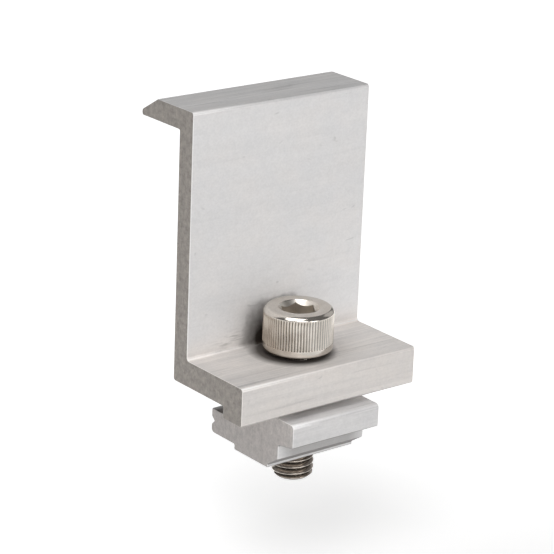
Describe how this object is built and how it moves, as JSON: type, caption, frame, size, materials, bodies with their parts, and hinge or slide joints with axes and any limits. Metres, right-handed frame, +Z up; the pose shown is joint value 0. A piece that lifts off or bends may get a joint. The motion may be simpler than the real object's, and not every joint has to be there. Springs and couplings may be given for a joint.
{
  "type": "solar end clamp",
  "caption": "Extruded end clamp that holds the edge of a framed solar module down on a mounting rail with a socket head cap screw and a rail nut.",
  "frame": {"origin": "on the cap screw's axis, midway along the clamp, level with the underside of the clamp's leg, which is the top of the rail", "axes": "+X along the extrusions and the rail's slot, +Y towards the module that the lip holds, +Z up along the cap screw"},
  "size_m": [0.04, 0.0344, 0.0705],
  "materials": {
    "clamp_aluminium": "mill finish extrusion with saw-cut ends",
    "screw_steel": "bare stainless steel, knurled head, dull thread",
    "nut_aluminium": "mill finish extrusion with saw-cut ends"
  },
  "bodies": {
    "clamp": {"clamp_body": "clamp_aluminium"},
    "screw": {"cap_screw": "screw_steel"},
    "nut": {"rail_nut": "nut_aluminium"}
  },
  "joints": [
    {"name": "screw_turn", "type": "hinge", "parent": "clamp", "child": "screw", "pos_m": [0, 0, 0], "axis": [0, 0, 1], "range_deg": [-302.4, 3456]},
    {"name": "nut_travel", "type": "slide", "parent": "clamp", "child": "nut", "axis": [0, 0, 1], "range_m": [-0.01205, 0.0011]}
  ],
  "couplings": [
    {"joint": "nut_travel", "follows": "screw_turn", "m_per_rad": -0.00019894}
  ]
}
